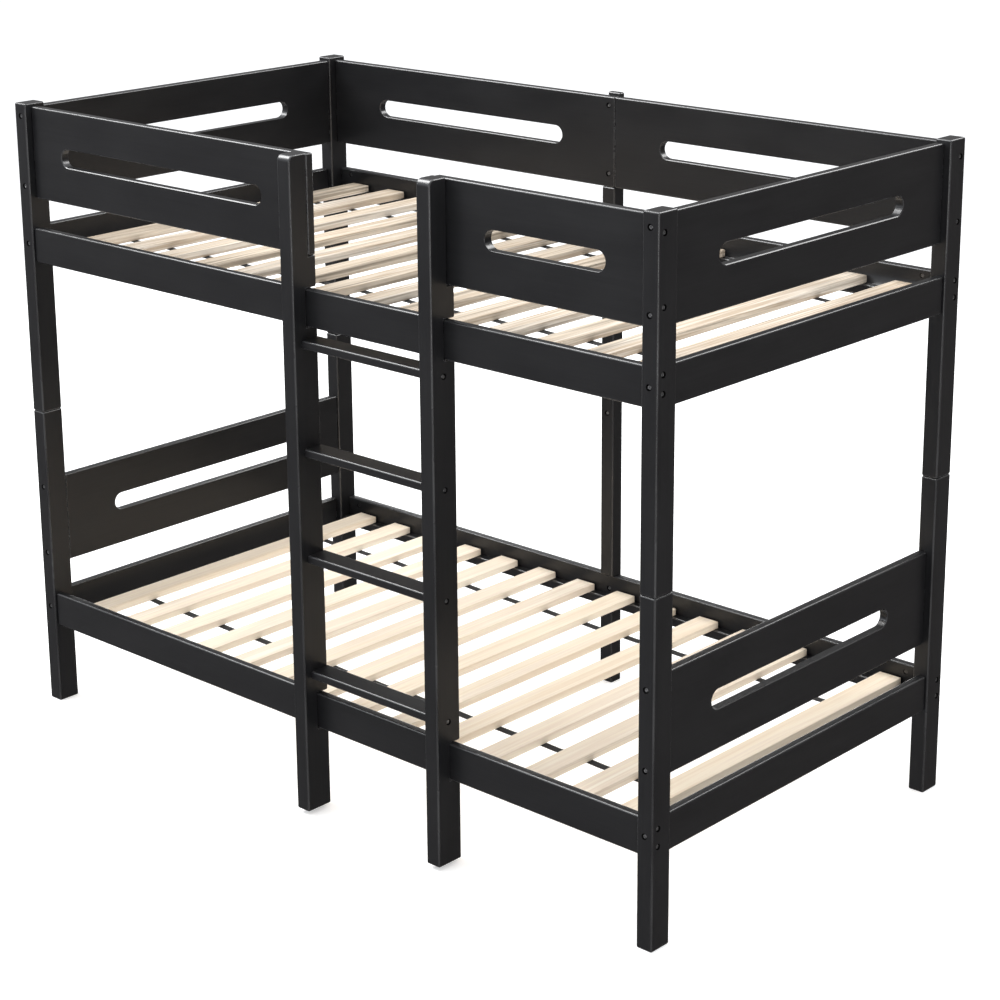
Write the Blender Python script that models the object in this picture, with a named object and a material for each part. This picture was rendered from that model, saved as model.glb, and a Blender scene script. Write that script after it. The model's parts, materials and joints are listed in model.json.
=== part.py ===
"""Twin-over-twin bunk bed with a fixed ladder, as the separate pieces that it is bolted together from.

Metres, +X along the bed, +Y from the ladder side to the back, +Z up. The origin is on the floor, under the
middle of the whole object, ladder included. Sizes and places below are in bed coordinates: x from the left
end, y from the front faces of the posts, z from the floor. ORIGIN moves them to the part's own frame.

Structure: four corner posts and a middle post at the back, each in two halves that are pinned together;
rails and slotted boards that are bolted between the posts; a ladder whose stiles hook over the front
rails and guards; and two decks of slats that lie on cleats inside the long rails.
"""

import math

import bmesh
import bpy
from mathutils import Vector

X, Y, Z = 0, 1, 2

# Overall size over the posts, and the air left between pieces that touch.
LENGTH = 2.000
WIDTH = 1.068
HEIGHT = 1.550
GAP = 0.0003

# Posts. Each comes apart at SEAM_Z, where a steel pin in the lower half enters a socket in the upper one.
POST_ALONG_X = 0.041
POST_ALONG_Y = 0.058
MIDDLE_POST_X = (0.990, 1.030)
MIDDLE_POST_DEEP = 0.038
SEAM_Z = 0.775
PIN_RADIUS = 0.005
PIN_RISE = 0.030
PIN_OVERLAP = 0.005
SOCKET_PLAY = 0.0004

# Rails, with a cleat along the inside of each long one.
RAIL_THICK = 0.020
RAIL_TALL = 0.086
RAIL_INSET = 0.006
RAIL_TOP = {"lower": 0.294, "upper": 1.245}
CLEAT_WIDE = 0.022
CLEAT_TALL = 0.025
CLEAT_BELOW_RAIL_TOP = 0.053

# Guard boards of the upper bunk and end panels of the lower one, each with a round-ended slot.
BOARD_THICK = 0.021
BOARD_INSET = 0.017
GUARD_Z = (1.317, 1.542)
END_PANEL_Z = (0.371, 0.598)
SLOT_TALL = 0.0445
SLOT_LONG = {"standard": 0.644, "front_left": 0.710, "front_right": 0.320}

# Ladder. Its stiles stand proud of the posts, and their feet stop short of the floor.
STILE_WIDE = 0.039
STILE_PROUD = 0.033
STILE_X = {"left": 0.972, "right": 1.390}
STILE_Z = (0.010, 1.544)
STILE_CORNER_RADIUS = 0.015
RUNG_TOPS = (0.356, 0.635, 0.885, 1.134)
RUNG_THICK = 0.020
RUNG_PROUD = 0.015

# Slats.
SLAT_COUNT = 14
SLAT_WIDE = 0.060
SLAT_THICK = 0.018
SLAT_PITCH = 0.135
SLAT_FIRST_X = 0.096
SLAT_END_PLAY = 0.005

# Bolt recesses. Bolts in a post's front or back face hold the end pieces, and bolts in its end face hold the
# long pieces. The two sets stand at different heights, so that they pass each other inside the post.
RECESS_RADIUS = 0.007
RECESS_DEEP = 0.005
END_PIECE_BOLTS = {"lower": (0.256, 0.401, 0.576), "upper": (1.204, 1.347, 1.519)}
END_PIECE_BOLT_IN = 0.022
LONG_PIECE_BOLTS = {"lower": (0.234, 0.274), "upper": (1.191, 1.230, 1.363, 1.509)}
LONG_PIECE_BOLT_IN = 0.018
INNER_GUARD_BOLTS = (1.350, 1.520)
RAIL_BOLT_BELOW_TOP = 0.038
LADDER_RAIL_BOLT_BELOW_TOP = 0.020
MIDDLE_POST_BOLT_Z = 0.733
NUT_RECESS_RADIUS = 0.006
NUT_FROM_RAIL_END = 0.040

# Finish of the shapes.
EASED_EDGE = 0.0025
SLAT_EASED_EDGE = 0.0015
SHARP_ANGLE = math.radians(30)
ARC_STEPS = 16
ROUND_SIDES = 24
CUT_PAST = 0.002

# Places that several pieces share.
BOARD_INNER = BOARD_INSET + BOARD_THICK
RAIL_INNER = RAIL_INSET + RAIL_THICK
MIDDLE_POST_FRONT = WIDTH - MIDDLE_POST_DEEP
MIDDLE_POST_CENTRE = sum(MIDDLE_POST_X) / 2
MIDDLE_NOTCH_FLOOR = WIDTH - BOARD_INSET
ORIGIN = Vector((LENGTH / 2, (WIDTH - STILE_PROUD) / 2, 0.0))


# Scene and materials


def clear_scene():
    for thing in list(bpy.data.objects):
        bpy.data.objects.remove(thing, do_unlink=True)


def material(name, colour, roughness):
    made = bpy.data.materials.new(name)
    made.use_nodes = True
    shader = made.node_tree.nodes["Principled BSDF"]
    shader.inputs["Base Color"].default_value = (*colour, 1.0)
    shader.inputs["Roughness"].default_value = roughness
    return made


# Shapes, as bmeshes in bed coordinates


def prism(outline, axis, start, end):
    """A closed outline, given in the two axes other than axis, drawn out along axis."""
    shape = bmesh.new()
    rings = []
    for along in (start, end):
        ring = []
        for point in outline:
            place = list(point)
            place.insert(axis, along)
            ring.append(shape.verts.new(place))
        shape.faces.new(ring)
        rings.append(ring)
    near, far = rings
    for i in range(len(outline)):
        j = (i + 1) % len(outline)
        shape.faces.new((near[i], near[j], far[j], far[i]))
    bmesh.ops.recalc_face_normals(shape, faces=shape.faces)
    return shape


def block(x_span, y_span, z_span):
    corners = []
    for x, y in ((0, 0), (1, 0), (1, 1), (0, 1)):
        corners.append((x_span[x], y_span[y]))
    return prism(corners, Z, z_span[0], z_span[1])


def arc(centre, radius, start_deg, end_deg, steps):
    points = []
    for i in range(steps + 1):
        angle = math.radians(start_deg + (end_deg - start_deg) * i / steps)
        points.append((centre[0] + radius * math.cos(angle), centre[1] + radius * math.sin(angle)))
    return points


def rod(centre, axis, start, end, radius):
    """A round bar along axis. centre is its place in the other two axes."""
    circle = arc(centre, radius, 0, 360, ROUND_SIDES)[:-1]
    return prism(circle, axis, start, end)


def slot(centre, long, axis, start, end):
    """The round-ended hole through a board that lies across axis."""
    radius = SLOT_TALL / 2
    reach = long / 2 - radius
    high_end = arc((centre[0] + reach, centre[1]), radius, -90, 90, ARC_STEPS)
    low_end = arc((centre[0] - reach, centre[1]), radius, 90, 270, ARC_STEPS)
    return prism(high_end + low_end, axis, start, end)


def recess(axis, face, inwards, centre, radius=RECESS_RADIUS):
    """A bolt's or nut's round recess. inwards is 1 where the piece lies on the face's high side, else -1."""
    start, end = sorted((face - inwards * CUT_PAST, face + inwards * RECESS_DEEP))
    return rod(centre, axis, start, end, radius)


def joined(shapes):
    whole = bmesh.new()
    for shape in shapes:
        mesh = bpy.data.meshes.new("part_of_helper")
        shape.to_mesh(mesh)
        shape.free()
        whole.from_mesh(mesh)
        bpy.data.meshes.remove(mesh)
    return whole


def ease_edges(shape, width):
    """A narrow flat along every outer edge. Inner corners stay sharp."""
    outer = []
    for edge in shape.edges:
        if edge.is_convex and edge.calc_face_angle() > SHARP_ANGLE:
            outer.append(edge)
    bmesh.ops.bevel(shape, geom=outer, offset=width, segments=1, affect="EDGES", clamp_overlap=True)


# Objects, in the part's frame


def mesh_about(centre, shape, name):
    for vertex in shape.verts:
        vertex.co -= centre
    mesh = bpy.data.meshes.new(name)
    shape.to_mesh(mesh)
    shape.free()
    mesh.shade_smooth()
    mesh.set_sharp_from_angle(angle=SHARP_ANGLE)
    return mesh


def centre_of(shape):
    low = [min(vertex.co[i] for vertex in shape.verts) for i in range(3)]
    high = [max(vertex.co[i] for vertex in shape.verts) for i in range(3)]
    return (Vector(low) + Vector(high)) / 2


def piece(name, shape, finish, carrier=None, eased=EASED_EDGE, added=(), cut=()):
    """One piece, with its origin at the middle of its box. It rides on carrier, if it has one. The shapes in
    added are joined on to it, and those in cut are then taken away."""
    ease_edges(shape, eased)
    centre = centre_of(shape)
    thing = bpy.data.objects.new(name, mesh_about(centre, shape, name))
    thing.data.materials.append(finish)
    thing.location = centre - ORIGIN
    if carrier:
        thing.parent = carrier
        thing.location -= carrier.location
    bpy.context.collection.objects.link(thing)
    if added:
        add_boolean(thing, centre, "UNION", added)
    if cut:
        add_boolean(thing, centre, "DIFFERENCE", cut)
    return thing


def add_boolean(thing, centre, operation, shapes):
    name = f"{operation.lower()}_{thing.name}"
    helper = bpy.data.objects.new(name, mesh_about(centre, joined(shapes), name))
    helper.parent = thing
    helper.hide_render = True
    helper.display_type = "WIRE"
    bpy.context.collection.objects.link(helper)
    modifier = thing.modifiers.new(name, "BOOLEAN")
    modifier.operation = operation
    modifier.solver = "EXACT"
    modifier.object = helper


def body_carrier(name, x, y, z):
    """An empty that the pieces of one moving body ride on."""
    empty = bpy.data.objects.new(name, None)
    empty.location = Vector((x, y, z)) - ORIGIN
    bpy.context.collection.objects.link(empty)
    return empty


def set_in(side, whole, inset, thick):
    """The span of a board that is set in from the front or left side, or else from the back or right side."""
    start = inset if side in ("front", "left") else whole - inset - thick
    return start, start + thick


# Posts


def half_span(level):
    return (0, SEAM_Z) if level == "lower" else (SEAM_Z + GAP, HEIGHT)


def pin_or_socket(level, x, y):
    """The pin that stands out of a lower half, or the socket for it in an upper one."""
    if level == "lower":
        return rod((x, y), Z, SEAM_Z - PIN_OVERLAP, SEAM_Z + PIN_RISE, PIN_RADIUS)
    return rod((x, y), Z, SEAM_Z - CUT_PAST, SEAM_Z + PIN_RISE + SOCKET_PLAY, PIN_RADIUS + SOCKET_PLAY)


def post(name, level, shape, centre, cuts, finish):
    joint = pin_or_socket(level, *centre)
    if level == "lower":
        piece(name, shape, finish, added=[joint], cut=cuts)
    else:
        piece(name, shape, finish, cut=cuts + [joint])


def corner_post(side, end, level, finish):
    x_span = set_in(end, LENGTH, 0, POST_ALONG_X)
    y_span = set_in(side, WIDTH, 0, POST_ALONG_Y)
    end_face, into_x = (0, 1) if end == "left" else (LENGTH, -1)
    side_face, into_y = (0, 1) if side == "front" else (WIDTH, -1)
    cuts = []
    for z in END_PIECE_BOLTS[level]:
        cuts.append(recess(Y, side_face, into_y, (end_face + into_x * END_PIECE_BOLT_IN, z)))
    for z in LONG_PIECE_BOLTS[level]:
        cuts.append(recess(X, end_face, into_x, (side_face + into_y * LONG_PIECE_BOLT_IN, z)))
    shape = block(x_span, y_span, half_span(level))
    centre = (sum(x_span) / 2, sum(y_span) / 2)
    post(f"post_{side}_{end}_{level}", level, shape, centre, cuts, finish)


def notched_edge(face, z_span, notches):
    """Points up one side of an upright, at y = face, that step in to the floor of each notch on the way. A
    notch is (span of z, y of its floor). One that reaches the top is left open there."""
    points = [(face, z_span[0])]
    for (low, high), floor in notches:
        points += [(face, low), (floor, low)]
        if high >= z_span[1]:
            return points + [(floor, z_span[1])]
        points += [(floor, high), (face, high)]
    return points + [(face, z_span[1])]


def rail_z(level):
    return RAIL_TOP[level] - RAIL_TALL, RAIL_TOP[level]


def grown(span):
    return span[0] - GAP, span[1] + GAP


def middle_post(level, finish):
    """The back upright, with housings in its front face for the rail and, at the top, for a guard."""
    z_span = half_span(level)
    floor = MIDDLE_NOTCH_FLOOR + GAP
    notches = [(grown(rail_z(level)), floor)]
    if level == "upper":
        notches.append(((GUARD_Z[0] - GAP, HEIGHT), floor))
    outline = notched_edge(MIDDLE_POST_FRONT, z_span, notches)
    outline += [(WIDTH, z_span[1]), (WIDTH, z_span[0])]
    cuts = []
    if level == "lower":
        cuts.append(recess(Y, MIDDLE_POST_FRONT, 1, (MIDDLE_POST_CENTRE, MIDDLE_POST_BOLT_Z)))
    centre = (MIDDLE_POST_CENTRE, WIDTH - MIDDLE_POST_DEEP / 2)
    post(f"post_back_middle_{level}", level, prism(outline, X, *MIDDLE_POST_X), centre, cuts, finish)


# Rails


def cleat_z(level):
    top = RAIL_TOP[level] - CLEAT_BELOW_RAIL_TOP
    return top - CLEAT_TALL, top


def nut_recesses(level, x_span, face, inwards):
    """Where barrel nuts show at the two ends of a long rail. Each takes the upper bolt of the rail's pair."""
    bolt_z = LONG_PIECE_BOLTS[level][1]
    cuts = []
    for x in (x_span[0] + NUT_FROM_RAIL_END, x_span[1] - NUT_FROM_RAIL_END):
        cuts.append(recess(Y, face, inwards, (x, bolt_z), NUT_RECESS_RADIUS))
    return cuts


def long_rail(side, level, finish):
    """A front or back rail, with the cleat that carries the slats glued along its inside."""
    outer, inner = (RAIL_INSET, RAIL_INNER) if side == "front" else (WIDTH - RAIL_INSET, WIDTH - RAIL_INNER)
    into = 1 if side == "front" else -1
    low, high = rail_z(level)
    cleat_low, cleat_high = cleat_z(level)
    cleat_face = inner + into * CLEAT_WIDE
    outline = [(outer, low), (inner, low), (inner, cleat_low), (cleat_face, cleat_low)]
    outline += [(cleat_face, cleat_high), (inner, cleat_high), (inner, high), (outer, high)]
    x_span = (POST_ALONG_X + GAP, LENGTH - POST_ALONG_X - GAP)
    cuts = nut_recesses(level, x_span, inner, -into)
    if side == "front":
        for stile_x in STILE_X.values():
            centre = (stile_x + STILE_WIDE / 2, high - LADDER_RAIL_BOLT_BELOW_TOP)
            cuts.append(recess(Y, inner, -into, centre))
    else:
        housing_x = grown(MIDDLE_POST_X)
        housing = block(housing_x, (MIDDLE_NOTCH_FLOOR, WIDTH), (low - CUT_PAST, high + CUT_PAST))
        bolt = recess(Y, inner, -into, (MIDDLE_POST_CENTRE, high - RAIL_BOLT_BELOW_TOP))
        cuts += [housing, bolt]
    piece(f"rail_{side}_{level}", prism(outline, X, *x_span), finish, cut=cuts)


def end_rail(end, level, finish):
    x_span = set_in(end, LENGTH, RAIL_INSET, RAIL_THICK)
    y_span = (POST_ALONG_Y + GAP, WIDTH - POST_ALONG_Y - GAP)
    piece(f"rail_{end}_end_{level}", block(x_span, y_span, rail_z(level)), finish)


# Slotted boards


def slot_z(z_span):
    return sum(z_span) / 2


def end_board(name, end, z_span, finish):
    """A guard or panel that closes one end of a bunk."""
    x_span = set_in(end, LENGTH, BOARD_INSET, BOARD_THICK)
    y_span = (POST_ALONG_Y + GAP, WIDTH - POST_ALONG_Y - GAP)
    centre = (WIDTH / 2, slot_z(z_span))
    hole = slot(centre, SLOT_LONG["standard"], X, x_span[0] - CUT_PAST, x_span[1] + CUT_PAST)
    piece(name, block(x_span, y_span, z_span), finish, cut=[hole])


def long_guard(side, end, x_span, slot_centre_x, slot_long, bolt_x, finish):
    """A front or back guard. bolt_x are the places of the bolts through its inner face."""
    y_span = set_in(side, WIDTH, BOARD_INSET, BOARD_THICK)
    hole = slot((slot_centre_x, slot_z(GUARD_Z)), slot_long, Y, y_span[0] - CUT_PAST, y_span[1] + CUT_PAST)
    inner, outwards = (y_span[1], -1) if side == "front" else (y_span[0], 1)
    cuts = [hole]
    for x in bolt_x:
        for z in INNER_GUARD_BOLTS:
            cuts.append(recess(Y, inner, outwards, (x, z)))
    piece(f"guard_{side}_{end}", block(x_span, y_span, GUARD_Z), finish, cut=cuts)


def long_guards(finish):
    """Two guards along the front, with the way in between them, and two that meet along the back."""
    left_end = POST_ALONG_X + GAP
    right_end = LENGTH - POST_ALONG_X - GAP
    left_stile_end = STILE_X["left"] + STILE_WIDE
    right_stile_end = STILE_X["right"] + STILE_WIDE
    fronts = {
        "left": (left_end, left_stile_end, (left_end + STILE_X["left"]) / 2, STILE_X["left"]),
        "right": (STILE_X["right"], right_end, (right_stile_end + right_end) / 2, STILE_X["right"]),
    }
    for end, (start, stop, slot_x, stile_x) in fronts.items():
        bolt_x = [stile_x + STILE_WIDE / 2]
        long_guard("front", end, (start, stop), slot_x, SLOT_LONG[f"front_{end}"], bolt_x, finish)
    meeting = MIDDLE_POST_X[1]
    backs = {
        "left": (left_end, meeting - GAP / 2, [MIDDLE_POST_CENTRE]),
        "right": (meeting + GAP / 2, right_end, []),
    }
    for end, (start, stop, bolt_x) in backs.items():
        long_guard("back", end, (start, stop), (start + stop) / 2, SLOT_LONG["standard"], bolt_x, finish)


# Ladder


def rung_z(top):
    return top - RUNG_THICK, top


def stile(side, carrier, finish):
    """A ladder upright. Its back is cut to hook over the lower rail, the upper rail and a guard."""
    notches = []
    for level in ("lower", "upper"):
        notches.append((grown(rail_z(level)), RAIL_INSET - GAP))
    notches.append(((GUARD_Z[0] - GAP, STILE_Z[1]), BOARD_INSET - GAP))
    outline = notched_edge(BOARD_INNER, STILE_Z, notches)
    radius = STILE_CORNER_RADIUS
    outline += arc((radius - STILE_PROUD, STILE_Z[1] - radius), radius, 90, 180, ARC_STEPS)
    outline.append((-STILE_PROUD, STILE_Z[0]))
    x_span = (STILE_X[side], STILE_X[side] + STILE_WIDE)
    outer_face, into = (x_span[0], 1) if side == "left" else (x_span[1], -1)
    cuts = []
    for top in RUNG_TOPS:
        centre = ((BOARD_INNER - STILE_PROUD) / 2, sum(rung_z(top)) / 2)
        cuts.append(recess(X, outer_face, into, centre))
    piece(f"ladder_stile_{side}", prism(outline, X, *x_span), finish, carrier, cut=cuts)


def rungs(carrier, finish):
    x_span = (STILE_X["left"] + STILE_WIDE + GAP, STILE_X["right"] - GAP)
    for number, top in enumerate(RUNG_TOPS, start=1):
        shape = block(x_span, (-RUNG_PROUD, BOARD_INNER), rung_z(top))
        piece(f"ladder_rung_{number}", shape, finish, carrier)


# Slats


def slat_deck(level, carrier, finish):
    y_span = (RAIL_INNER + SLAT_END_PLAY, WIDTH - RAIL_INNER - SLAT_END_PLAY)
    bottom = cleat_z(level)[1] + GAP
    for number in range(SLAT_COUNT):
        start = SLAT_FIRST_X + number * SLAT_PITCH
        shape = block((start, start + SLAT_WIDE), y_span, (bottom, bottom + SLAT_THICK))
        piece(f"slat_{level}_{number + 1:02d}", shape, finish, carrier, eased=SLAT_EASED_EDGE)


def build():
    clear_scene()
    paint = material("black_paint", (0.016, 0.016, 0.017), 0.42)
    pine = material("pine", (0.72, 0.56, 0.40), 0.60)
    for level in ("lower", "upper"):
        for side in ("front", "back"):
            for end in ("left", "right"):
                corner_post(side, end, level, paint)
            long_rail(side, level, paint)
        middle_post(level, paint)
        for end in ("left", "right"):
            end_rail(end, level, paint)
    for end in ("left", "right"):
        end_board(f"guard_{end}_end", end, GUARD_Z, paint)
        end_board(f"end_panel_{end}_lower", end, END_PANEL_Z, paint)
    long_guards(paint)
    ladder_centre_x = (STILE_X["left"] + STILE_X["right"] + STILE_WIDE) / 2
    ladder = body_carrier("ladder", ladder_centre_x, 0, STILE_Z[0])
    for side in ("left", "right"):
        stile(side, ladder, paint)
    rungs(ladder, paint)
    for level in ("lower", "upper"):
        deck = body_carrier(f"slat_deck_{level}", LENGTH / 2, WIDTH / 2, cleat_z(level)[1])
        slat_deck(level, deck, pine)


build()
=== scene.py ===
"""The bunk bed's looks: finer wood for every CAD piece, bolts, nuts, straps and staples, and a pale studio.

Metres, in the CAD frame: +X along the bed, +Y from the ladder side to the back, +Z up, the floor at z = 0.
"""

import json
import math
import random

import bmesh
import bpy
import numpy as np
from mathutils import Matrix, Vector


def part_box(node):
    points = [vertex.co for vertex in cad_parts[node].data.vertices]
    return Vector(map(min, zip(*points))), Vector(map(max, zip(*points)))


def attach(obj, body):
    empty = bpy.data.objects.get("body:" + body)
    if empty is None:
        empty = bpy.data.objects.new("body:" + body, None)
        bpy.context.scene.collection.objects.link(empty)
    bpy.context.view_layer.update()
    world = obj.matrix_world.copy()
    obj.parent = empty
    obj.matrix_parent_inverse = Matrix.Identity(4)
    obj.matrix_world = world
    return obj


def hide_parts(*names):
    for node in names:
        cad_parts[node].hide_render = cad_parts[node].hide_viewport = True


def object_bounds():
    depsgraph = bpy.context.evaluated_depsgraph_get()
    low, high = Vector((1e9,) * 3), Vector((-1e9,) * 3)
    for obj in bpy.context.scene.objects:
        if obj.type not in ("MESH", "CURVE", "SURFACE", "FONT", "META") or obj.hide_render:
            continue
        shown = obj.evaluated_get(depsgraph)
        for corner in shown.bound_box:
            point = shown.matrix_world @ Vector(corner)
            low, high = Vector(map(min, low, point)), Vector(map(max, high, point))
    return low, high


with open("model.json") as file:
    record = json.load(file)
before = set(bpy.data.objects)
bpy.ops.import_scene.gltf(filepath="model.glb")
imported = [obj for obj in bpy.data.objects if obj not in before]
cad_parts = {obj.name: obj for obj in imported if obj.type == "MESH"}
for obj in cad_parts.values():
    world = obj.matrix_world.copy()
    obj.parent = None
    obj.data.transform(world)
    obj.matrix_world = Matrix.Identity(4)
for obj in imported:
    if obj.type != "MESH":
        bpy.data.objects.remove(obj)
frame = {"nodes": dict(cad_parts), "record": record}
cad_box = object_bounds()

# Camera, at the viewing angle of a product picture.
CAMERA_PLACE = (3.790, -3.994, 2.482)
CAMERA_AZIMUTH = 42.63
CAMERA_PITCH = 15.77
CAMERA_ROLL = -0.42
LENS_MM = 86.9
SENSOR_MM = 36.0
SHIFT_Y = -0.12

# Surroundings. Each stop is (how far towards BRIGHT_SIDE, colour), above the horizon and below it. The change
# between them takes HORIZON, in the height of a unit direction.
BRIGHT_SIDE = Vector((-0.35, -0.62, 0.70)).normalized()
ABOVE = ((0.0, (0.20, 0.195, 0.19)), (0.5, (0.30, 0.297, 0.295)), (1.0, (0.92, 0.95, 1.0)))
BELOW = ((0.0, (0.155, 0.142, 0.136)), (0.5, (0.19, 0.185, 0.18)), (1.0, (0.41, 0.40, 0.42)))
HORIZON = (-0.12, 0.22)
BACKDROP = (1.1, 1.1, 1.1)

# Softboxes: place, target, width, height, watts, colour, and whether the object mirrors it. Those named edge
# are the ones that eased edges mirror: along the front, along the ends, up the corners, and along the far
# edges of the top faces. The fill is for the sides of the slats.
WHITE = (1.0, 1.0, 1.0)
COOL = (0.90, 0.94, 1.0)
SOFTBOXES = {
    "front_box": ((-1.8, -4.8, 2.6), (0, 0, 1.3), 4.0, 1.6, 38, COOL, True),
    "top_box": ((0, 0, 3.3), (0, 0, 0), 2.4, 1.4, 25, WHITE, True),
    "fill_box": ((4.4, -1.0, 2.6), (0, 0, 0.9), 3.0, 1.6, 65, WHITE, False),
    "front_edge_box": ((-3.3, -1.4, 4.8), (0, 0, 1.2), 2.4, 2.4, 220, WHITE, True),
    "end_edge_box": ((1.4, 3.5, 4.6), (0, 0, 1.2), 2.4, 2.4, 140, WHITE, True),
    "corner_edge_box": ((3.6, -3.3, 0.8), (0, 0, 0.8), 0.7, 1.6, 20, WHITE, True),
    "far_edge_box": ((-3.6, 3.9, 0.6), (0, 0, 0.8), 3.0, 1.0, 50, WHITE, True),
}
SUN_FROM = Vector((-0.35, -0.45, 1.2))
SUN_STRENGTH = 0.75
SUN_WIDE = 60
FLOOR_SIZE = 120
FLOOR_TONES = ((0.3, 0.90), (0.7, 0.92))
FLOOR_ROUGHNESS = 0.8
FLOOR_SPECULAR = 0.1
FLOOR_GLOW = 0.35

# Patterns of the materials: noise scale, detail, and stretch along the grain, across it and through it. A
# stretch under 1 draws the pattern out. RELIEF_TALL is how tall the relief of any of them can be.
EVEN = (1, 1, 1)
PAINT_CLOUDS = (5.0, 3.0, (1, 3, 3))
PAINT_GRAIN = (260.0, 4.0, (0.02, 1, 1))
PAINT_SPECKLES = (900.0, 2.0, EVEN)
PINE_SWAY = (14.0, 2.0, (0.12, 1, 1))
PINE_STREAKS = (62.0, 3.0, (0.022, 1, 1))
PINE_PATCHES = (40.0, 2.0, (0.05, 1, 1))
PINE_FIBRES = (1100.0, 3.0, (0.012, 1, 1))
STEEL_RUBBING = (500.0, 3.0, EVEN)
WEBBING_YARN = (1500.0, 2.0, EVEN)
FLOOR_CLOUDS = (1.5, 3.0, EVEN)
RELIEF_TALL = 0.0004

# Black paint: darkest and lightest colour, roughness, specular level. A painted piece has all four, in this
# order, and its faces use the first one unless they are marked with one of the numbers below.
PAINTS = {
    "black_paint": ((0.0066, 0.0066, 0.0074), (0.0102, 0.0102, 0.0110), 0.34, 0.40),
    # Lighter than the main paint, as a painted highlight on slanting faces and eased edges, and glossier.
    "black_paint_edge_painted_highlight": ((0.010, 0.010, 0.011), (0.040, 0.040, 0.041), 0.26, 0.75),
    # Darker than the main paint: painted shade in the recesses of the bolts and nuts.
    "black_paint_recess_painted_shade": ((0.0020, 0.0020, 0.0021), (0.0040, 0.0040, 0.0041), 0.60, 0.10),
    "black_paint_tread": ((0.0066, 0.0066, 0.0072), (0.0102, 0.0102, 0.0108), 0.46, 0.16),
}
# Faces with this number get the edge paint's painted highlight.
EDGE_PAINTED_HIGHLIGHT = 1
# Faces with this number get the recess paint's painted shade.
RECESS_PAINTED_SHADE = 2
TREAD_FINISH = 3
PAINT_TONE_RANGE = (0.35, 0.65)
PAINT_ROUGH_SPREAD = 0.16
SPECKLE_RELIEF = 0.35
PAINT_RELIEF = 0.16

# Pine: the colours of its broad streaks, the colour of late wood, and its brightness at the bed's middle and
# at its ends, which in the upper bunk is painted shade in the middle and painted light at the ends. The upper
# bunk's pine is greyer and darker and the lower bunk's paler: partly the wood's own colour, partly painted
# shade on the upper deck and painted light on the lower one.
PINES = {
    "upper": (
        [(0.26, 0.22, 0.17), (0.60, 0.52, 0.42), (0.37, 0.29, 0.21), (0.64, 0.58, 0.50), (0.31, 0.27, 0.22)],
        (0.36, 0.28, 0.20),
        (0.88, 1.22),
    ),
    "lower": (
        [(0.80, 0.67, 0.51), (0.88, 0.78, 0.62), (0.80, 0.68, 0.55), (0.90, 0.82, 0.68)],
        (0.74, 0.58, 0.44),
        (0.97, 0.97),
    ),
}
RING_PITCH = 0.0046
RING_BEND = 0.016
RING_SHADES = ((0.0, 0.0), (0.55, 0.22), (1.0, 1.0))
RING_STRENGTH = ((0.35, 0.04), (0.70, 0.42))
STREAK_RANGE = (0.32, 0.68)
PLANK_SPREAD = 0.22
FIBRE_STRENGTH = 0.14
PINE_ROUGHNESS = ((0.3, 0.52), (0.7, 0.66))
PINE_SPECULAR = 0.30
PINE_RELIEF = 0.25
# How far a plank's middle lies from its log's pith: along the grain, across it and through it.
PITH_OFFSETS = ((-5, 5), (-0.03, 0.03), (0.02, 0.07))

# Steel: the colour of its skin, and the colour where that is rubbed.
STEELS = {
    "black_oxide": ((0.14, 0.14, 0.143), (0.46, 0.46, 0.465)),
    "zinc_nut": ((0.05, 0.05, 0.052), (0.26, 0.26, 0.265)),
    "zinc": ((0.38, 0.38, 0.39), (0.62, 0.62, 0.62)),
}
STEEL_RUBBED = ((0.40, 0.0), (0.75, 1.0))
STEEL_ROUGHNESS = ((0.3, 0.42), (0.7, 0.24))
STEEL_METALLIC = 0.9

# Webbing: the colours of the hollows and the tops of its ribs.
WEBBING_COLOURS = ((0.003, 0.003, 0.0035), (0.012, 0.012, 0.013))
WEBBING_TOPS = ((0.2, 0.0), (0.7, 1.0))
RIB_SCALE = 420.0
RIB_DISTORTION = 0.6
WEBBING_ROUGHNESS = ((0.3, 0.75), (0.7, 0.92))
WEBBING_SHEEN = 0.05
WEBBING_RELIEF = 0.6

# Shapes. A face is slanting when it looks more than 20 degrees away from every axis.
WELD = 1e-6
RADIUS_SLACK = 0.03
FLAT_ANGLE = math.radians(1)
SHARP_ANGLE = math.radians(30)
EASED_ANGLES = (math.radians(30), math.radians(50))
AXIS_ALIGNED = 0.999
SLANTING = math.cos(math.radians(20))
PAINTED_ROUND = 0.0008
SLAT_ROUND = 0.0009
ROUND_STEPS = 2
SLOT_RIM = 0.0018
SLOT_RIM_STEPS = 1
RING_SIDES = 24

# Bolts and barrel nuts, in the recesses of the CAD. A recess is told by the distance from its floor's centre.
BOLT_RECESS = 0.007
NUT_RECESS = 0.006
RECESS_DEEP = 0.005
RECESS_REACH = BOLT_RECESS + RECESS_DEEP
RECESS_WALL_REACH = BOLT_RECESS + RECESS_DEEP / 2
RECESS_WALL_BELOW = RECESS_DEEP * 0.75
HEAD_RADIUS = 0.0044
HEAD_TALL = 0.0028
HEAD_CHAMFER = 0.0006
SOCKET_APOTHEM = 0.0019
SOCKET_DEEP = 0.0020
SOCKET_CHAMFER = 0.0003
NUT_RADIUS = 0.0050
NUT_TALL = 0.0034
NUT_CHAMFER = 0.0004
NUT_GROOVE = (0.0036, 0.0007)
NUT_GROOVE_DEEP = 0.0012

# Straps under the slats, and the staples that hold them.
STRAP_WIDE = 0.020
STRAP_THICK = 0.0012
STRAP_UNDER_SLAT = 0.0001
STRAP_FROM_SLAT_END = 0.195
STRAP_LEAVES_SLAT = 0.004
STRAP_SAG = 0.0014
STRAP_WANDER = 0.0022
STAPLE_WIDE = 0.011
STAPLE_WIRE = 0.0011
STAPLE_ROUND = 0.00033


# Meshes


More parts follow.
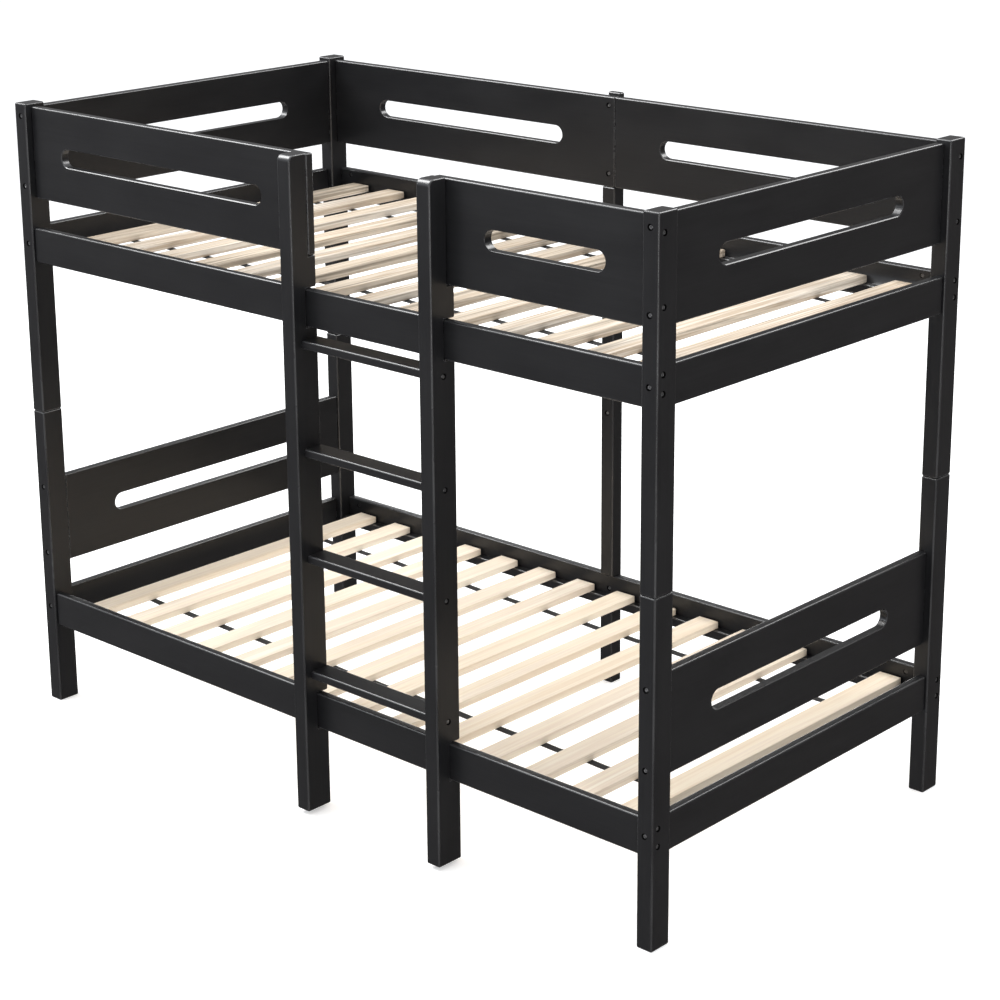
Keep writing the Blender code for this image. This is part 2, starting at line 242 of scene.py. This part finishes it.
def welded(node):
    """A CAD node's mesh with its split corners joined and its flat faces whole."""
    shape = bmesh.new()
    shape.from_mesh(frame["nodes"][node].data)
    bmesh.ops.remove_doubles(shape, verts=shape.verts, dist=WELD)
    bmesh.ops.dissolve_limit(shape, angle_limit=FLAT_ANGLE, verts=shape.verts, edges=shape.edges)
    bmesh.ops.recalc_face_normals(shape, faces=shape.faces)
    return shape


def steepest(face):
    """How nearly the face looks along an axis: 1 when it does."""
    return max(abs(part) for part in face.normal)


def recess_floors(shape, radius):
    """(centre, outward normal) of the floor of every round recess of that radius."""
    found = []
    for face in shape.faces:
        centre = face.calc_center_median()
        reach = [(vertex.co - centre).length / radius for vertex in face.verts]
        if steepest(face) > AXIS_ALIGNED and min(reach) > 1 - RADIUS_SLACK and max(reach) < 1 + RADIUS_SLACK:
            found.append((centre, face.normal.copy()))
    return found


def near_recess(edge, floors):
    """True on the rim, the wall or the floor of a recess."""
    middle = (edge.verts[0].co + edge.verts[1].co) / 2
    return any((middle - centre).length < RECESS_REACH for centre, _ in floors)


def in_recess(face, floors):
    """True for the wall and the floor of a recess, which lie below its rim."""
    for centre, normal in floors:
        offset = face.calc_center_median() - centre
        if offset.length < RECESS_WALL_REACH and offset.dot(normal) < RECESS_WALL_BELOW:
            return True
    return False


def mark_finishes(shape, floors, is_tread):
    """Gives recesses a darker paint as painted shade, slanting faces, such as the flats of eased edges, a
    lighter and glossier paint whose lighter colour is a painted highlight, and the top of a tread its own
    finish."""
    for face in shape.faces:
        if in_recess(face, floors):
            face.material_index = RECESS_PAINTED_SHADE
        elif steepest(face) < SLANTING:
            face.material_index = EDGE_PAINTED_HIGHLIGHT
        elif is_tread and face.normal.z > AXIS_ALIGNED:
            face.material_index = TREAD_FINISH


def soften(shape, floors, fine_round):
    """Rounds the eased edges further, and cuts back the rims of slots, which the CAD leaves sharp. The new
    faces get the edge paint, with its painted highlight."""
    eased, rims = [], []
    for edge in shape.edges:
        if not edge.is_manifold or not edge.is_convex or near_recess(edge, floors):
            continue
        angle = edge.calc_face_angle()
        if EASED_ANGLES[0] < angle < EASED_ANGLES[1]:
            eased.append(edge)
        elif angle >= EASED_ANGLES[1]:
            rims.append(edge)
    for edges, width, steps in ((rims, SLOT_RIM, SLOT_RIM_STEPS), (eased, fine_round, ROUND_STEPS)):
        edges = [edge for edge in edges if edge.is_valid]
        made = bmesh.ops.bevel(
            shape, geom=edges, offset=width, segments=steps, affect="EDGES", clamp_overlap=True
        )
        for face in made["faces"]:
            face.material_index = EDGE_PAINTED_HIGHLIGHT


def board_coordinates(mesh, seed):
    """Stores where each point lies in its own plank: along the grain, across it and through it, in metres.
    The plank's place in the log, and so its ring pattern, comes from seed. Also stores how far the piece is
    from the bed's middle, from 0 to 1, which sets the painted shade and light of the pine."""
    places = np.array([vertex.co[:] for vertex in mesh.vertices])
    low, high = places.min(axis=0), places.max(axis=0)
    order = np.argsort(low - high, kind="stable")
    draw = random.Random(seed)
    offsets = [draw.uniform(least, most) for least, most in PITH_OFFSETS]
    local = (places - (low + high) / 2)[:, order] + offsets
    outward = abs(low[0] + high[0]) / (2 * cad_box[1][0])
    for name, kind in (("board", "FLOAT_VECTOR"), ("tint", "FLOAT"), ("outward", "FLOAT")):
        mesh.attributes.new(name, kind, "POINT")
    mesh.attributes["board"].data.foreach_set("vector", local.ravel())
    mesh.attributes["tint"].data.foreach_set("value", np.full(len(places), draw.random()))
    mesh.attributes["outward"].data.foreach_set("value", np.full(len(places), outward))


def piece_from(shape, name, finishes, body):
    """A shown piece made of a bmesh, smooth over its rounds and flat on its faces. finishes are its
    materials, in the order of the faces' material numbers."""
    mesh = bpy.data.meshes.new(name)
    shape.to_mesh(mesh)
    shape.free()
    mesh.shade_smooth()
    mesh.set_sharp_from_angle(angle=SHARP_ANGLE)
    board_coordinates(mesh, name)
    for finish in finishes:
        mesh.materials.append(finish)
    thing = bpy.data.objects.new(name, mesh)
    bpy.context.scene.collection.objects.link(thing)
    modifier = thing.modifiers.new("flat_faces", "WEIGHTED_NORMAL")
    modifier.keep_sharp = True
    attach(thing, body)
    return thing


def ring(shape, radii, height):
    """A closed loop of points about Z, one for each radius."""
    loop = []
    for i, radius in enumerate(radii):
        angle = 2 * math.pi * i / len(radii)
        loop.append(shape.verts.new((radius * math.cos(angle), radius * math.sin(angle), height)))
    return loop


def skin(shape, loops):
    """Closes the loops, from the first to the last, into one solid."""
    shape.faces.new(list(reversed(loops[0])))
    for lower, upper in zip(loops, loops[1:]):
        for i in range(len(lower)):
            j = (i + 1) % len(lower)
            shape.faces.new((lower[i], lower[j], upper[j], upper[i]))
    shape.faces.new(loops[-1])


def hexagon_radii(apothem):
    """The radii of a ring's points on a hexagon."""
    turn = 2 * math.pi / RING_SIDES
    return [apothem / math.cos((i * turn) % (math.pi / 3) - math.pi / 6) for i in range(RING_SIDES)]


def groove_radii(half_long, half_wide):
    """The radii of a ring's points on a rectangle."""
    radii = []
    for i in range(RING_SIDES):
        angle = 2 * math.pi * i / RING_SIDES
        along = half_long / max(abs(math.cos(angle)), WELD)
        across = half_wide / max(abs(math.sin(angle)), WELD)
        radii.append(min(along, across))
    return radii


def bolt_head():
    """A socket head that stands on z = 0."""
    shape = bmesh.new()
    side = [HEAD_RADIUS] * RING_SIDES
    top = [HEAD_RADIUS - HEAD_CHAMFER] * RING_SIDES
    mouth = hexagon_radii(SOCKET_APOTHEM + SOCKET_CHAMFER)
    socket = hexagon_radii(SOCKET_APOTHEM)
    loops = [ring(shape, side, 0.0), ring(shape, side, HEAD_TALL - HEAD_CHAMFER), ring(shape, top, HEAD_TALL)]
    loops += [ring(shape, mouth, HEAD_TALL), ring(shape, socket, HEAD_TALL - SOCKET_CHAMFER)]
    loops.append(ring(shape, socket, HEAD_TALL - SOCKET_DEEP))
    skin(shape, loops)
    return shape


def barrel_nut():
    """The grooved end of a barrel nut, standing on z = 0."""
    shape = bmesh.new()
    side = [NUT_RADIUS] * RING_SIDES
    top = [NUT_RADIUS - NUT_CHAMFER] * RING_SIDES
    groove = groove_radii(*NUT_GROOVE)
    loops = [ring(shape, side, 0.0), ring(shape, side, NUT_TALL - NUT_CHAMFER), ring(shape, top, NUT_TALL)]
    loops += [ring(shape, groove, NUT_TALL), ring(shape, groove, NUT_TALL - NUT_GROOVE_DEEP)]
    skin(shape, loops)
    return shape


def staple_crown():
    """The part of a staple that shows, across the strap."""
    shape = bmesh.new()
    bmesh.ops.create_cube(shape, size=1.0)
    bmesh.ops.scale(shape, vec=(STAPLE_WIRE, STAPLE_WIDE, STAPLE_WIRE), verts=shape.verts)
    bmesh.ops.bevel(shape, geom=shape.edges, offset=STAPLE_ROUND, segments=2, affect="EDGES")
    return shape


def ribbon(path):
    """A flat strap along X through the points of path, with rounded long edges."""
    half, thick, nick = STRAP_WIDE / 2, STRAP_THICK / 2, STRAP_THICK / 4
    section = [(-half, -nick), (-half + nick, -thick), (half - nick, -thick), (half, -nick)]
    section += [(half, nick), (half - nick, thick), (-half + nick, thick), (-half, nick)]
    shape = bmesh.new()
    loops = []
    for x, y, z in path:
        loops.append([shape.verts.new((x, y + across, z + up)) for across, up in section])
    skin(shape, loops)
    bmesh.ops.recalc_face_normals(shape, faces=shape.faces)
    return shape


def copied(make, places):
    """One bmesh with a copy of make() at each placement matrix."""
    whole = bmesh.new()
    for place in places:
        shape = make()
        shape.transform(place)
        mesh = bpy.data.meshes.new("copy")
        shape.to_mesh(mesh)
        shape.free()
        whole.from_mesh(mesh)
        bpy.data.meshes.remove(mesh)
    return whole


def screwed_in(floors, seed):
    """Placement matrices that stand a fastener on each recess floor, each turned by its own angle."""
    draw = random.Random(seed)
    places = []
    for centre, normal in floors:
        turn = Matrix.Rotation(draw.uniform(0, math.pi), 4, "Z")
        upright = normal.to_track_quat("Z", "Y").to_matrix().to_4x4()
        places.append(Matrix.Translation(centre) @ upright @ turn)
    return places


# Shader nodes


def add(tree, kind, inputs=None, **settings):
    """A new shader node. inputs holds socket values, or the sockets that feed them."""
    made = tree.nodes.new("ShaderNode" + kind)
    for name, value in settings.items():
        setattr(made, name, value)
    for key, value in (inputs or {}).items():
        if isinstance(value, bpy.types.NodeSocket):
            tree.links.new(value, made.inputs[key])
        else:
            made.inputs[key].default_value = value
    return made


def maths(tree, operation, *values):
    """The result of a Math node."""
    return add(tree, "Math", dict(enumerate(values)), operation=operation).outputs[0]


def mixed(tree, share, first, second):
    """A mix of two colours."""
    made = add(tree, "Mix", {0: share}, data_type="RGBA")
    for index, value in ((6, first), (7, second)):
        if isinstance(value, bpy.types.NodeSocket):
            tree.links.new(value, made.inputs[index])
        else:
            made.inputs[index].default_value = (*value, 1.0)
    return made.outputs[2]


def ramp(tree, value, *stops):
    """A colour ramp. Each stop is (place, grey or colour)."""
    made = add(tree, "ValToRGB", {0: value})
    elements = made.color_ramp.elements
    while len(elements) < len(stops):
        elements.new(1.0)
    for element, (place, colour) in zip(elements, stops):
        element.position = place
        element.color = (*colour, 1.0) if isinstance(colour, tuple) else (colour, colour, colour, 1.0)
    return made.outputs[0]


def noise(tree, vector, scale, detail, stretch):
    """Noise in 0 to 1, in one of the patterns above."""
    placed = add(tree, "Mapping", {"Vector": vector, "Scale": tuple(scale * part for part in stretch)})
    return add(tree, "TexNoise", {"Vector": placed.outputs[0], "Scale": 1.0, "Detail": detail}).outputs[0]


def attribute(tree, name, kind="Fac"):
    """What board_coordinates stored under that name."""
    return add(tree, "Attribute", attribute_name=name).outputs[kind]


def bumped(tree, shader, height, strength):
    """Fine relief in the shader's normal."""
    bump = add(tree, "Bump", {"Strength": strength, "Distance": RELIEF_TALL, "Height": height})
    tree.links.new(bump.outputs[0], shader.inputs["Normal"])


def new_material(name):
    """A material, its node tree and its shader."""
    made = bpy.data.materials.new(name)
    made.use_nodes = True
    tree = made.node_tree
    return made, tree, tree.nodes["Principled BSDF"]


# Materials


def black_paint(name, dark, light, roughness, specular):
    """Satin black paint over solid wood. The grain shows through a little, and its tone drifts in clouds."""
    made, tree, shader = new_material(name)
    board = attribute(tree, "board", "Vector")
    cloud = noise(tree, board, *PAINT_CLOUDS)
    grain = noise(tree, board, *PAINT_GRAIN)
    speckle = noise(tree, board, *PAINT_SPECKLES)
    tone = maths(tree, "MULTIPLY_ADD", grain, 0.5, maths(tree, "MULTIPLY", cloud, 0.5))
    low, high = PAINT_TONE_RANGE
    tree.links.new(ramp(tree, tone, (low, dark), (high, light)), shader.inputs["Base Color"])
    rough = maths(tree, "MULTIPLY_ADD", cloud, PAINT_ROUGH_SPREAD, roughness - PAINT_ROUGH_SPREAD / 2)
    tree.links.new(rough, shader.inputs["Roughness"])
    shader.inputs["Specular IOR Level"].default_value = specular
    bumped(tree, shader, maths(tree, "MULTIPLY_ADD", speckle, SPECKLE_RELIEF, grain), PAINT_RELIEF)
    return made


def growth_rings(tree, board):
    """Shells about the log's pith, which run as lines along a slat and as arcs over its ends."""
    sway = noise(tree, board, *PINE_SWAY)
    parts = add(tree, "SeparateXYZ", {0: board}).outputs
    bend = maths(tree, "MULTIPLY", maths(tree, "SUBTRACT", sway, 0.5), RING_BEND)
    across = maths(tree, "ADD", parts[1], bend)
    through = maths(tree, "ADD", parts[2], bend)
    square = maths(tree, "MULTIPLY", through, through)
    radius = maths(tree, "SQRT", maths(tree, "ADD", maths(tree, "MULTIPLY", across, across), square))
    wave = maths(tree, "SINE", maths(tree, "MULTIPLY", radius, 2 * math.pi / RING_PITCH))
    return ramp(tree, maths(tree, "MULTIPLY_ADD", wave, 0.5, 0.5), *RING_SHADES)


def pine(name, streaks, late, painted_shade_and_light):
    """Planed pine: broad streaks, growth rings of late wood, and fine fibres. Each plank has its own tone.
    Its colour is scaled darker or lighter by the piece's distance from the bed's middle: painted shade and
    light.
    """
    made, tree, shader = new_material(name)
    board = attribute(tree, "board", "Vector")
    rings = growth_rings(tree, board)
    band = noise(tree, board, *PINE_STREAKS)
    fibre = noise(tree, board, *PINE_FIBRES)
    strength = noise(tree, board, *PINE_PATCHES)
    tint = maths(tree, "SUBTRACT", attribute(tree, "tint"), 0.5)
    toned = maths(tree, "MULTIPLY_ADD", tint, PLANK_SPREAD, band)
    low, high = STREAK_RANGE
    stops = [(low + (high - low) * i / (len(streaks) - 1), colour) for i, colour in enumerate(streaks)]
    base = ramp(tree, toned, *stops)
    share = maths(tree, "MULTIPLY", rings, ramp(tree, strength, *RING_STRENGTH))
    ringed = mixed(tree, share, base, late)
    fibred = mixed(tree, maths(tree, "MULTIPLY", fibre, FIBRE_STRENGTH), ringed, late)
    # Painted shade and light: the colour is scaled from the middle value to the ends value by the piece's
    # distance from the bed's middle.
    middle, ends = painted_shade_and_light
    level = maths(tree, "MULTIPLY_ADD", attribute(tree, "outward"), ends - middle, middle)
    lit = add(tree, "VectorMath", {0: fibred, 3: level}, operation="SCALE")
    tree.links.new(lit.outputs[0], shader.inputs["Base Color"])
    tree.links.new(ramp(tree, fibre, *PINE_ROUGHNESS), shader.inputs["Roughness"])
    shader.inputs["Specular IOR Level"].default_value = PINE_SPECULAR
    bumped(tree, shader, fibre, PINE_RELIEF)
    return made


def webbing():
    """Black woven strap: a twill of fine ribs."""
    made, tree, shader = new_material("webbing")
    board = attribute(tree, "board", "Vector")
    wave = {"Vector": board, "Scale": RIB_SCALE, "Distortion": RIB_DISTORTION}
    ribs = add(tree, "TexWave", wave, bands_direction="DIAGONAL")
    yarn = noise(tree, board, *WEBBING_YARN)
    weave = maths(tree, "MULTIPLY", ribs.outputs["Fac"], yarn)
    colour = mixed(tree, ramp(tree, weave, *WEBBING_TOPS), *WEBBING_COLOURS)
    tree.links.new(colour, shader.inputs["Base Color"])
    tree.links.new(ramp(tree, yarn, *WEBBING_ROUGHNESS), shader.inputs["Roughness"])
    shader.inputs["Sheen Weight"].default_value = WEBBING_SHEEN
    bumped(tree, shader, weave, WEBBING_RELIEF)
    return made


def steel(name):
    """Steel with a thin oxide or zinc skin, rubbed in places."""
    made, tree, shader = new_material(name)
    rubbed = noise(tree, attribute(tree, "board", "Vector"), *STEEL_RUBBING)
    colour = mixed(tree, ramp(tree, rubbed, *STEEL_RUBBED), *STEELS[name])
    tree.links.new(colour, shader.inputs["Base Color"])
    tree.links.new(ramp(tree, rubbed, *STEEL_ROUGHNESS), shader.inputs["Roughness"])
    shader.inputs["Metallic"].default_value = STEEL_METALLIC
    return made


def pale_floor():
    """Nearly white, and glowing a little so that it meets the backdrop without a line."""
    made, tree, shader = new_material("pale_floor")
    tone = noise(tree, add(tree, "TexCoord").outputs["Object"], *FLOOR_CLOUDS)
    tree.links.new(ramp(tree, tone, *FLOOR_TONES), shader.inputs["Base Color"])
    shader.inputs["Roughness"].default_value = FLOOR_ROUGHNESS
    shader.inputs["Specular IOR Level"].default_value = FLOOR_SPECULAR
    shader.inputs["Emission Color"].default_value = (*WHITE, 1.0)
    shader.inputs["Emission Strength"].default_value = FLOOR_GLOW
    return made


# The object


def body_of(node):
    """The body that a CAD node belongs to."""
    for body, members in frame["record"]["behaviour"]["bodies"].items():
        if node in members:
            return body


def wood():
    """A finer piece for every CAD node. Returns the places of the bolts and of the nuts, by node."""
    paints = [black_paint(name, *look) for name, look in PAINTS.items()]
    pines = {deck: pine(f"pine_{deck}", *look) for deck, look in PINES.items()}
    bolts, nuts = {}, {}
    for part in frame["record"]["subparts"]:
        node, slot = part["node"], part["material_slot"]
        is_pine = slot == "pine"
        shape = welded(node)
        bolts[node] = recess_floors(shape, BOLT_RECESS)
        nuts[node] = recess_floors(shape, NUT_RECESS)
        floors = bolts[node] + nuts[node]
        mark_finishes(shape, floors, node.startswith("ladder_rung"))
        soften(shape, floors, SLAT_ROUND if is_pine else PAINTED_ROUND)
        finishes = [pines[node.split("_")[1]]] * len(paints) if is_pine else paints
        piece = piece_from(shape, f"{node}_wood", finishes, body_of(node))
        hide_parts(node)
    return bolts, nuts


def fasteners(kind, floors_by_node, make, finish):
    """One piece for all the bolts, or all the nuts, of each node."""
    for node, floors in floors_by_node.items():
        if floors:
            shape = copied(make, screwed_in(floors, node))
            piece_from(shape, f"{kind}_{node}", [finish], body_of(node))


def strap_path(slats, y, offsets):
    """The points of a strap under the slats, in at each slat and a little lower between two."""
    path = []
    for i, (low, high) in enumerate(slats):
        under = low.z - STRAP_THICK / 2 - STRAP_UNDER_SLAT
        path.append((low.x + STRAP_LEAVES_SLAT, y + offsets[i], under))
        path.append((high.x - STRAP_LEAVES_SLAT, y + offsets[i], under))
        if i + 1 < len(slats):
            gap_middle = (high.x + slats[i + 1][0].x) / 2
            path.append((gap_middle, y + (offsets[i] + offsets[i + 1]) / 2, under - STRAP_SAG))
    return path


def straps(level, finish, staple_finish):
    """Two straps under a deck of slats, stapled to every one."""
    slats = [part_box(node) for node in frame["record"]["behaviour"]["bodies"][f"{level}_deck"]]
    slats.sort(key=lambda box: box[0].x)
    front, back = slats[0][0].y, slats[0][1].y
    staples = []
    for side, y in (("front", front + STRAP_FROM_SLAT_END), ("back", back - STRAP_FROM_SLAT_END)):
        draw = random.Random(f"{level} {side}")
        offsets = [draw.uniform(-STRAP_WANDER, STRAP_WANDER) for _ in slats]
        for (low, high), offset in zip(slats, offsets):
            staples.append(Matrix.Translation(((low.x + high.x) / 2, y + offset, low.z - STRAP_THICK)))
        strap = ribbon(strap_path(slats, y, offsets))
        piece_from(strap, f"strap_{level}_{side}", [finish], f"{level}_deck")
    crowns = copied(staple_crown, staples)
    piece_from(crowns, f"staples_{level}", [staple_finish], f"{level}_deck")


# The studio


def camera():
    """The scene's camera, turned by its azimuth, then by its pitch, then rolled about its own view."""
    data = bpy.data.cameras.new("camera")
    data.sensor_width = SENSOR_MM
    data.lens = LENS_MM
    data.shift_y = SHIFT_Y
    thing = bpy.data.objects.new("camera", data)
    tilt = Matrix.Rotation(math.radians(90 - CAMERA_PITCH), 4, "X")
    turn = Matrix.Rotation(math.radians(CAMERA_AZIMUTH), 4, "Z")
    roll = Matrix.Rotation(math.radians(CAMERA_ROLL), 4, "Z")
    thing.matrix_world = Matrix.Translation(CAMERA_PLACE) @ turn @ tilt @ roll
    bpy.context.scene.collection.objects.link(thing)
    bpy.context.scene.camera = thing


def lamp(data, place, target):
    """Puts a light in the scene, shining from place towards target."""
    thing = bpy.data.objects.new(data.name, data)
    thing.location = place
    thing.rotation_euler = (Vector(target) - Vector(place)).to_track_quat("-Z", "Y").to_euler()
    thing.visible_camera = False
    bpy.context.scene.collection.objects.link(thing)
    return thing


def softbox(name, place, target, width, height, power, colour, mirrored):
    """A rectangular light. The object's paint shows its reflection where mirrored is true."""
    data = bpy.data.lights.new(name, "AREA")
    data.shape = "RECTANGLE"
    data.size = width
    data.size_y = height
    data.energy = power
    data.color = colour
    lamp(data, place, target).visible_glossy = mirrored


def wide_sun():
    """A very soft sun, high on the front left."""
    data = bpy.data.lights.new("sun", "SUN")
    data.energy = SUN_STRENGTH
    data.angle = math.radians(SUN_WIDE)
    lamp(data, SUN_FROM, (0, 0, 0))


def surroundings():
    """Soft light from all round: bright and cool high on the front left, dim and warm low on the back right.
    The camera sees plain white."""
    world = bpy.data.worlds.new("studio")
    world.use_nodes = True
    tree = world.node_tree
    towards = add(tree, "TexCoord").outputs["Generated"]
    bright = add(tree, "VectorMath", {0: towards, 1: BRIGHT_SIDE}, operation="DOT_PRODUCT").outputs["Value"]
    share = maths(tree, "MULTIPLY_ADD", bright, 0.5, 0.5)
    # A ramp has no places under 0, so heights are moved up by half before theirs.
    height = maths(tree, "ADD", add(tree, "SeparateXYZ", {0: towards}).outputs[2], 0.5)
    low, high = (level + 0.5 for level in HORIZON)
    is_above = ramp(tree, height, (low, 0.0), (high, 1.0))
    soft = mixed(tree, is_above, ramp(tree, share, *BELOW), ramp(tree, share, *ABOVE))
    seen = mixed(tree, add(tree, "LightPath").outputs["Is Camera Ray"], soft, BACKDROP)
    tree.links.new(seen, tree.nodes["Background"].inputs[0])
    bpy.context.scene.world = world


def studio():
    """The floor, the surroundings and the lights."""
    bpy.ops.mesh.primitive_plane_add(size=FLOOR_SIZE)
    floor = bpy.context.object
    floor.name = "floor"
    floor.data.materials.append(pale_floor())
    floor.visible_glossy = False
    surroundings()
    for name, box in SOFTBOXES.items():
        softbox(name, *box)
    wide_sun()


bolts, nuts = wood()
fasteners("bolts", bolts, bolt_head, steel("black_oxide"))
fasteners("nuts", nuts, barrel_nut, steel("zinc_nut"))
strap_finish, staple_finish = webbing(), steel("zinc")
for level in ("lower", "upper"):
    straps(level, strap_finish, staple_finish)
camera()
studio()
bpy.context.scene.view_settings.view_transform = "Standard"
